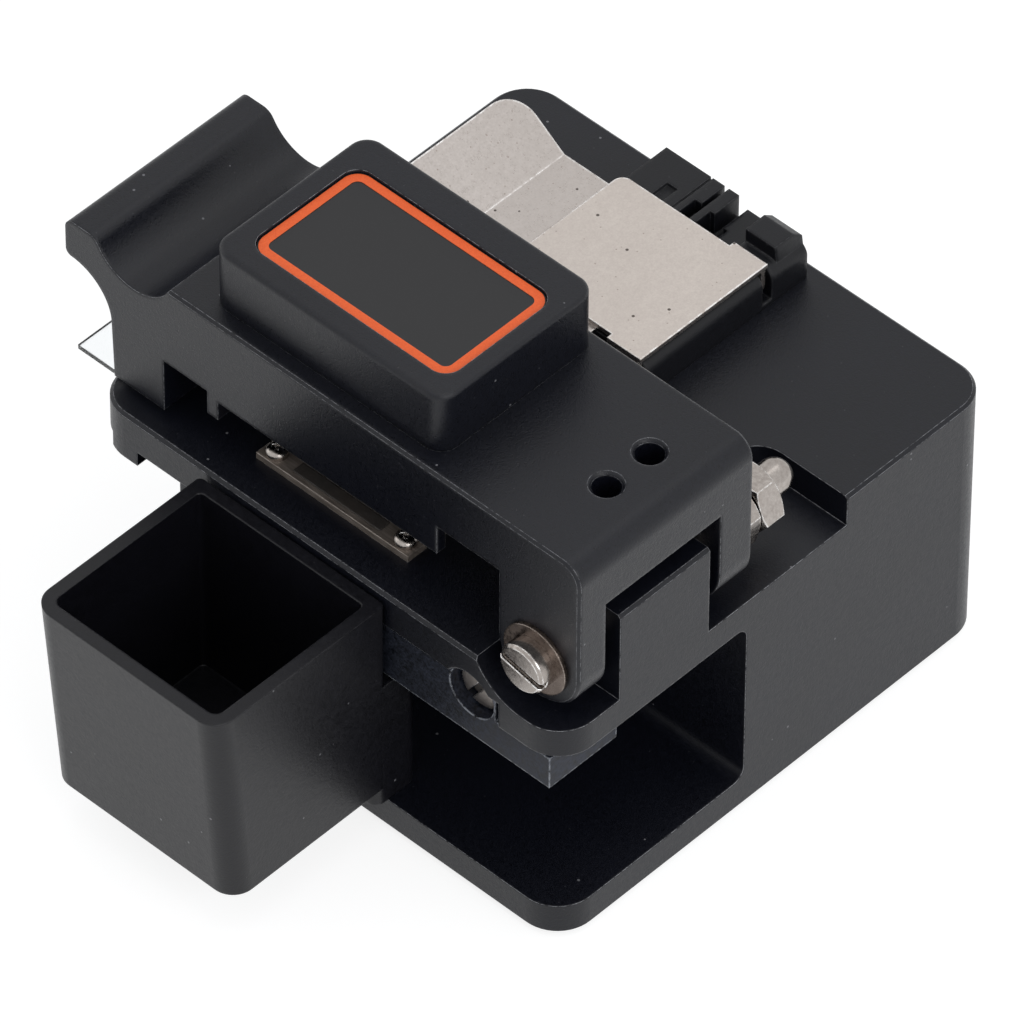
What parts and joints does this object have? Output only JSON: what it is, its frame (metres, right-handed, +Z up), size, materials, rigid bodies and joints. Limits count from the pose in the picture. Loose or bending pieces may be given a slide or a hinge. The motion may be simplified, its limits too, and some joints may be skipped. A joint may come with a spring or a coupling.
{
  "type": "fibre cleaver",
  "caption": "Bench fibre cleaver: milled block with a hinged clamp lever, sliding round blade, fibre holder with a lid, and a side scrap bin.",
  "frame": {"origin": "on the table, under the middle of the milled body (its rubber sole's lower face)", "axes": "+Z up; -Y towards the user, where the lever's lip and the finger plate are; +X to the scrap bin; the lever's pin runs along X near the rear face"},
  "size_m": [0.0878, 0.0705, 0.0603],
  "materials": {
    "anodised_black": "bead blasted, black anodised",
    "black_rubber": "matt",
    "dark_plate": "bronzed steel",
    "steel": "plain",
    "nickel": "bright nickel plated",
    "blasted_grey": "bead blasted, grey anodised",
    "carbide": "ground edge",
    "brass": "turned",
    "pad_grey": "bead blasted, dark grey anodised",
    "label": "printed ring, bare field",
    "nickel_satin": "satin nickel",
    "bin_plastic": "moulded",
    "clear_sheet": "clear plastic sheet"
  },
  "bodies": {
    "base": {"base_block": "anodised_black", "rubber_sole": "black_rubber", "scrap_rest_plate": "dark_plate", "scrap_rest_strip": "black_rubber", "lower_clamp_plate_right": "dark_plate", "lower_clamp_strip_right": "black_rubber", "lower_clamp_plate_left": "dark_plate", "lower_clamp_strip_left": "black_rubber", "plate_screws": "steel", "guide_rail": "steel", "rail_screws": "steel", "rail_stops": "steel", "holder_base": "anodised_black", "holder_screws": "steel", "holder_magnet": "steel", "holder_pin": "steel", "clear_film": "clear_sheet"},
    "lever": {"lever_arm": "anodised_black", "pad_cover": "pad_grey", "cover_screws": "steel", "label_plate": "label", "pivot_screw": "nickel", "pivot_washer": "nickel", "pivot_nuts": "nickel", "anvil": "steel", "anvil_screw": "steel", "clamp_springs": "steel"},
    "upper_clamp": {"upper_clamp_block": "blasted_grey", "upper_pad_right": "black_rubber", "upper_pad_left": "black_rubber", "clamp_stems": "steel"},
    "carriage": {"guide_block": "steel", "blade_carriage": "blasted_grey", "carriage_screws": "steel", "push_plate": "anodised_black", "axle_screw": "nickel", "axle_nut": "nickel"},
    "blade": {"blade_wheel": "carbide", "blade_hub": "brass"},
    "holder_lid": {"lid_plate": "nickel_satin", "press_leaf": "nickel_satin"},
    "bin": {"scrap_bin": "bin_plastic"}
  },
  "joints": [
    {"name": "lever_hinge", "type": "hinge", "parent": "base", "child": "lever", "pos_m": [0.0168, 0.027, 0.0368], "axis": [-1, 0, 0], "range_deg": [0, 90]},
    {"name": "clamp_travel", "type": "slide", "parent": "lever", "child": "upper_clamp", "axis": [0, 0, 1], "range_m": [0, 0.0012], "stiffness_N_per_m": 900, "springref_m": -0.001, "deforming": ["clamp_springs"]},
    {"name": "carriage_slide", "type": "slide", "parent": "base", "child": "carriage", "axis": [0, -1, 0], "range_m": [0, 0.032]},
    {"name": "blade_turn", "type": "hinge", "parent": "carriage", "child": "blade", "pos_m": [0.01975, 0.0199, 0.0278], "axis": [1, 0, 0], "continuous": true},
    {"name": "holder_lid_hinge", "type": "hinge", "parent": "base", "child": "holder_lid", "pos_m": [-0.01485, 0.0064, 0.0366], "axis": [-1, 0, 0], "range_deg": [0, 95]},
    {"name": "bin_pull", "type": "slide", "parent": "base", "child": "bin", "axis": [1, 0, 0], "range_m": [0, 0.028]}
  ]
}
